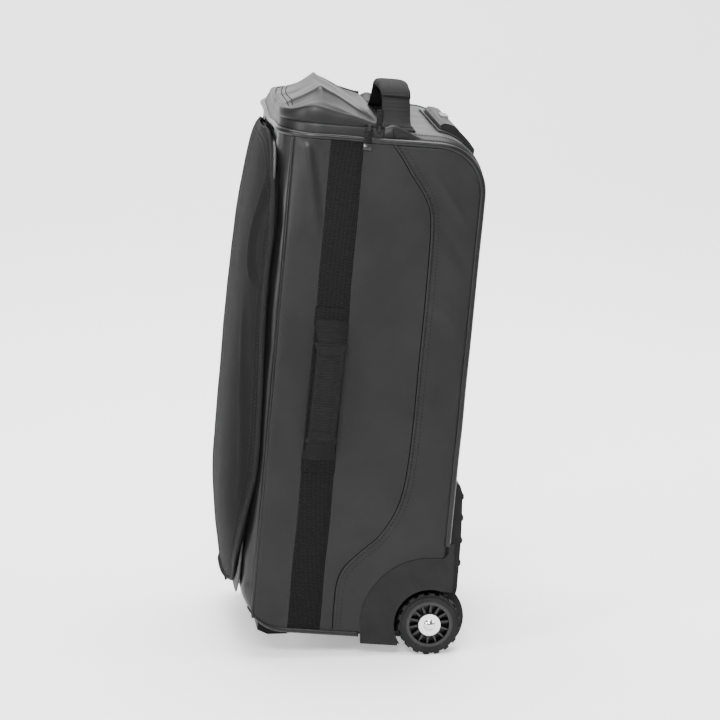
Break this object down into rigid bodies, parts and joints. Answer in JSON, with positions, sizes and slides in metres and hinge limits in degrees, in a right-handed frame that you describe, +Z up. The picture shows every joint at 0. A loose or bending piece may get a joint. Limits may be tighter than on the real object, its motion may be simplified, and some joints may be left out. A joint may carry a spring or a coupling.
{
  "type": "bowling ball bag",
  "caption": "Wheeled upright bowling ball bag with a zipped lid, front pocket door, telescopic pull handle, side and top carry handles, skid plate and front foot.",
  "frame": {"origin": "on the ground under the middle of the bag's outer box", "axes": "+X to the bag's right along the wheel axles, +Y to the back where the pull handle and wheels are, +Z up; the bag leans back on its foot"},
  "size_m": [0.3492, 0.311, 0.6747],
  "materials": {
    "tarpaulin": "satin coated tarpaulin",
    "polyester": "matte woven polyester",
    "webbing": "ribbed polyester webbing",
    "piping": "glossy welt",
    "zip_tape": "reversed coil zip tape",
    "zip_metal": "black painted",
    "board": "matte sheet",
    "foam": "covered foam",
    "moulded_plastic": "fine grained",
    "rim_plastic": "satin",
    "tyre_rubber": "matte rubber",
    "aluminium_tube": "satin anodised",
    "button_plastic": "satin",
    "steel": "zinc plated",
    "bright_steel": "polished"
  },
  "bodies": {
    "body": {"side_panel_right": "tarpaulin", "side_panel_left": "tarpaulin", "front_panel": "tarpaulin", "bottom_panel": "tarpaulin", "back_panel": "tarpaulin", "top_deck": "tarpaulin", "top_collar": "tarpaulin", "edge_piping_right": "piping", "edge_piping_left": "piping", "front_seam_piping": "piping", "side_overlays": "tarpaulin", "body_webbing": "webbing", "base_board": "board", "back_board": "board", "ball_cup_lower": "foam", "ball_divider": "foam", "shoe_shelf": "foam", "trolley_bezel": "moulded_plastic", "trolley_outer_tubes": "aluminium_tube", "trolley_base_bracket": "moulded_plastic", "wheel_housing_right": "moulded_plastic", "wheel_housing_left": "moulded_plastic", "skid_plate": "moulded_plastic", "housing_fasteners": "steel", "skid_plate_screws": "steel", "front_foot": "moulded_plastic", "foot_screws": "steel", "axle_right": "bright_steel", "axle_left": "bright_steel", "lid_zip_lower_tape": "zip_tape", "zip_garages": "tarpaulin", "rear_zip": "zip_tape", "door_zip_tape": "zip_tape", "lid_zip_slider_rear": "zip_metal"},
    "lid": {"lid_panel": "tarpaulin", "lid_zip_upper_tape": "zip_tape"},
    "door": {"door_panel": "tarpaulin", "pocket_cover": "polyester", "pocket_gussets": "polyester", "door_tab": "polyester"},
    "top_handle": {"top_handle_strap": "webbing", "top_handle_grip": "webbing"},
    "trolley_middle": {"trolley_middle_tubes": "aluminium_tube", "trolley_middle_collars": "moulded_plastic"},
    "trolley_upper": {"trolley_inner_tubes": "aluminium_tube", "trolley_grip": "moulded_plastic", "release_spring": "steel"},
    "release": {"release_button": "button_plastic", "release_rods": "steel"},
    "wheel_right": {"tyre_right": "tyre_rubber", "rim_right": "rim_plastic", "bearings_right": "steel"},
    "wheel_left": {"tyre_left": "tyre_rubber", "rim_left": "rim_plastic", "bearings_left": "steel"},
    "side_handle_right": {"side_handle_right": "webbing"},
    "side_handle_left": {"side_handle_left": "webbing"},
    "zip_slider": {"lid_zip_slider_front": "zip_metal"},
    "zip_pull_front": {"zip_pull_front": "webbing"},
    "zip_pull_rear": {"zip_pull_rear": "webbing"}
  },
  "joints": [
    {"name": "lid_hinge", "type": "hinge", "parent": "body", "child": "lid", "pos_m": [0, 0.03715, 0.63754], "axis": [-1, 0, 0], "range_deg": [0, 45]},
    {"name": "door_hinge", "type": "hinge", "parent": "body", "child": "door", "pos_m": [0, -0.14082, 0.06151], "axis": [1, 0, 0], "range_deg": [0, 95]},
    {"name": "top_handle_fold", "type": "hinge", "parent": "body", "child": "top_handle", "pos_m": [0, 0.06267, 0.63115], "axis": [-1, 0, 0], "range_deg": [0, 38]},
    {"name": "trolley_lower_slide", "type": "slide", "parent": "body", "child": "trolley_middle", "axis": [0, 0.0924, 0.9957], "range_m": [0, 0.21]},
    {"name": "trolley_upper_slide", "type": "slide", "parent": "trolley_middle", "child": "trolley_upper", "axis": [0, 0.0924, 0.9957], "range_m": [0, 0.21]},
    {"name": "release_button_press", "type": "slide", "parent": "trolley_upper", "child": "release", "axis": [0, -0.0924, -0.9957], "range_m": [0, 0.0028], "stiffness_N_per_m": 900, "springref_m": -0.002, "deforming": ["release_spring"]},
    {"name": "wheel_right_spin", "type": "hinge", "parent": "body", "child": "wheel_right", "pos_m": [0.142, 0.091, 0.038], "axis": [1, 0, 0], "continuous": true},
    {"name": "wheel_left_spin", "type": "hinge", "parent": "body", "child": "wheel_left", "pos_m": [-0.142, 0.091, 0.038], "axis": [1, 0, 0], "continuous": true},
    {"name": "side_handle_right_swing", "type": "hinge", "parent": "body", "child": "side_handle_right", "pos_m": [0.1528, -0.03377, 0.32776], "axis": [0, 0.0924, 0.9957], "range_deg": [-27, 27]},
    {"name": "side_handle_left_swing", "type": "hinge", "parent": "body", "child": "side_handle_left", "pos_m": [-0.1528, -0.03377, 0.32776], "axis": [0, 0.0924, 0.9957], "range_deg": [-27, 27]},
    {"name": "zip_slider_slide", "type": "slide", "parent": "body", "child": "zip_slider", "axis": [0, -0.9957, 0.0924], "range_m": [0, 0.07]},
    {"name": "zip_pull_front_swing", "type": "hinge", "parent": "zip_slider", "child": "zip_pull_front", "pos_m": [0.1551, 0.01824, 0.63939], "axis": [0, -0.9957, 0.0924], "range_deg": [0, 110]},
    {"name": "zip_pull_rear_swing", "type": "hinge", "parent": "body", "child": "zip_pull_rear", "pos_m": [0.1551, 0.02979, 0.63832], "axis": [0, 0.9957, -0.0924], "range_deg": [0, 150]}
  ]
}
